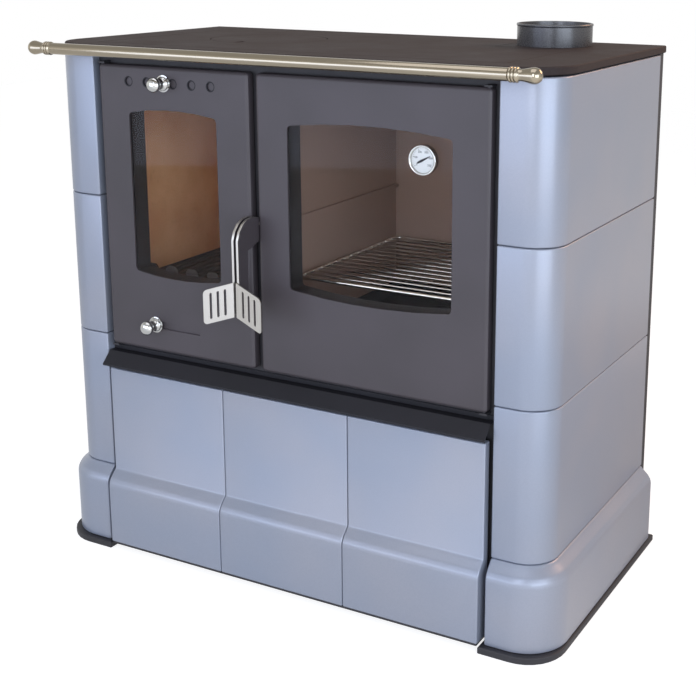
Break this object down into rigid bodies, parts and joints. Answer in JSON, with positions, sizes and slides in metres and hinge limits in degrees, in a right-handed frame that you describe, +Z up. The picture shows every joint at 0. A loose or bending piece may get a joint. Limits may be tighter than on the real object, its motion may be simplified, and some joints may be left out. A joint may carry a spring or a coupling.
{
  "type": "wood cookstove",
  "caption": "Freestanding wood-fired cookstove with glazed firebox and oven doors, cast hob, flue collar, towel rail, storage drawer and pearl-grey ceramic cladding.",
  "frame": {"origin": "centre of the overall bounding box at floor level", "axes": "+X to the right along the front seen by someone facing the stove, +Y towards the back, +Z up; the doors face -Y"},
  "size_m": [0.926, 0.5138, 0.895],
  "materials": {
    "ceramic_glaze": "glossy pearl-grey ceramic glaze",
    "door_paint": "satin anthracite stove paint",
    "black_sheet": "matt black heat-proof paint",
    "cast_iron": "ground and seasoned cast iron",
    "polished_chrome": "polished",
    "brushed_stainless": "brushed",
    "firebrick": "rough fireclay",
    "dark_enamel": "glossy dark enamel",
    "rope_seal": "glass-fibre rope",
    "gauge_white": "matt white dial",
    "glass": "clear heat-proof glass"
  },
  "bodies": {
    "stove": {"plinth_left": "ceramic_glaze", "plinth_right": "ceramic_glaze", "tile_left_1": "ceramic_glaze", "tile_left_2": "ceramic_glaze", "tile_left_3": "ceramic_glaze", "tile_right_1": "ceramic_glaze", "tile_right_2": "ceramic_glaze", "tile_right_3": "ceramic_glaze", "drawer_lip": "door_paint", "skid_left": "black_sheet", "skid_right": "black_sheet", "base_plate": "black_sheet", "side_panel_left": "black_sheet", "side_panel_right": "black_sheet", "back_panel": "black_sheet", "front_frame": "black_sheet", "flue_collar": "black_sheet", "firebox_shell": "black_sheet", "ash_pan": "black_sheet", "hob_frame": "cast_iron", "fire_grate": "cast_iron", "fire_guard": "cast_iron", "rail_tube": "polished_chrome", "rail_finial_left": "polished_chrome", "rail_finial_right": "polished_chrome", "oven_rack": "polished_chrome", "firebrick_left": "firebrick", "firebrick_right": "firebrick", "firebrick_back": "firebrick", "oven_box": "dark_enamel", "oven_tray": "dark_enamel"},
    "fire_door": {"fire_door": "door_paint", "fire_door_glass": "glass", "fire_door_skirt": "black_sheet", "fire_door_rope": "rope_seal", "fire_door_lever_pin": "brushed_stainless"},
    "upper_air": {"upper_air_slide": "door_paint", "upper_air_knob": "polished_chrome"},
    "lower_air": {"lower_air_slide": "door_paint", "lower_air_knob": "polished_chrome"},
    "fire_handle": {"fire_door_lever": "door_paint", "fire_door_grip": "brushed_stainless"},
    "oven_door": {"oven_door": "door_paint", "oven_door_glass": "glass", "oven_door_skirt": "black_sheet", "oven_door_rope": "rope_seal", "oven_door_lever_pin": "brushed_stainless", "gauge_case": "polished_chrome", "gauge_dial": "gauge_white"},
    "oven_handle": {"oven_door_lever": "door_paint", "oven_door_grip": "brushed_stainless"},
    "gauge_needle": {"gauge_needle": "black_sheet"},
    "drawer": {"drawer_box": "black_sheet", "drawer_tile_1": "ceramic_glaze", "drawer_tile_2": "ceramic_glaze", "drawer_tile_3": "ceramic_glaze"},
    "hob_plate": {"hob_plate": "cast_iron"},
    "hob_lid": {"hob_lid": "cast_iron"}
  },
  "joints": [
    {"name": "fire_door_hinge", "type": "hinge", "parent": "stove", "child": "fire_door", "pos_m": [-0.339, -0.18755, 0.5965], "axis": [0, 0, -1], "range_deg": [0, 110]},
    {"name": "upper_air_slide", "type": "slide", "parent": "fire_door", "child": "upper_air", "axis": [-1, 0, 0], "range_m": [0, 0.018]},
    {"name": "lower_air_slide", "type": "slide", "parent": "fire_door", "child": "lower_air", "axis": [1, 0, 0], "range_m": [0, 0.082]},
    {"name": "fire_handle_lift", "type": "hinge", "parent": "fire_door", "child": "fire_handle", "pos_m": [-0.0535, -0.18615, 0.6], "axis": [-1, 0, 0], "range_deg": [0, 25]},
    {"name": "oven_door_hinge", "type": "hinge", "parent": "stove", "child": "oven_door", "pos_m": [0.339, -0.18755, 0.5965], "axis": [0, 0, 1], "range_deg": [0, 110]},
    {"name": "oven_handle_lift", "type": "hinge", "parent": "oven_door", "child": "oven_handle", "pos_m": [-0.0455, -0.18615, 0.6], "axis": [-1, 0, 0], "range_deg": [0, 25]},
    {"name": "gauge_needle_turn", "type": "hinge", "parent": "oven_door", "child": "gauge_needle", "pos_m": [0.2432, -0.1983, 0.723], "axis": [0, 1, 0], "range_deg": [0, 240]},
    {"name": "drawer_slide", "type": "slide", "parent": "stove", "child": "drawer", "axis": [0, -1, 0], "range_m": [0, 0.3]},
    {"name": "hob_plate_lift", "type": "slide", "parent": "stove", "child": "hob_plate", "axis": [0, 0, 1], "range_m": [0, 0.05]},
    {"name": "hob_lid_lift", "type": "slide", "parent": "hob_plate", "child": "hob_lid", "axis": [0, 0, 1], "range_m": [0, 0.05]}
  ]
}
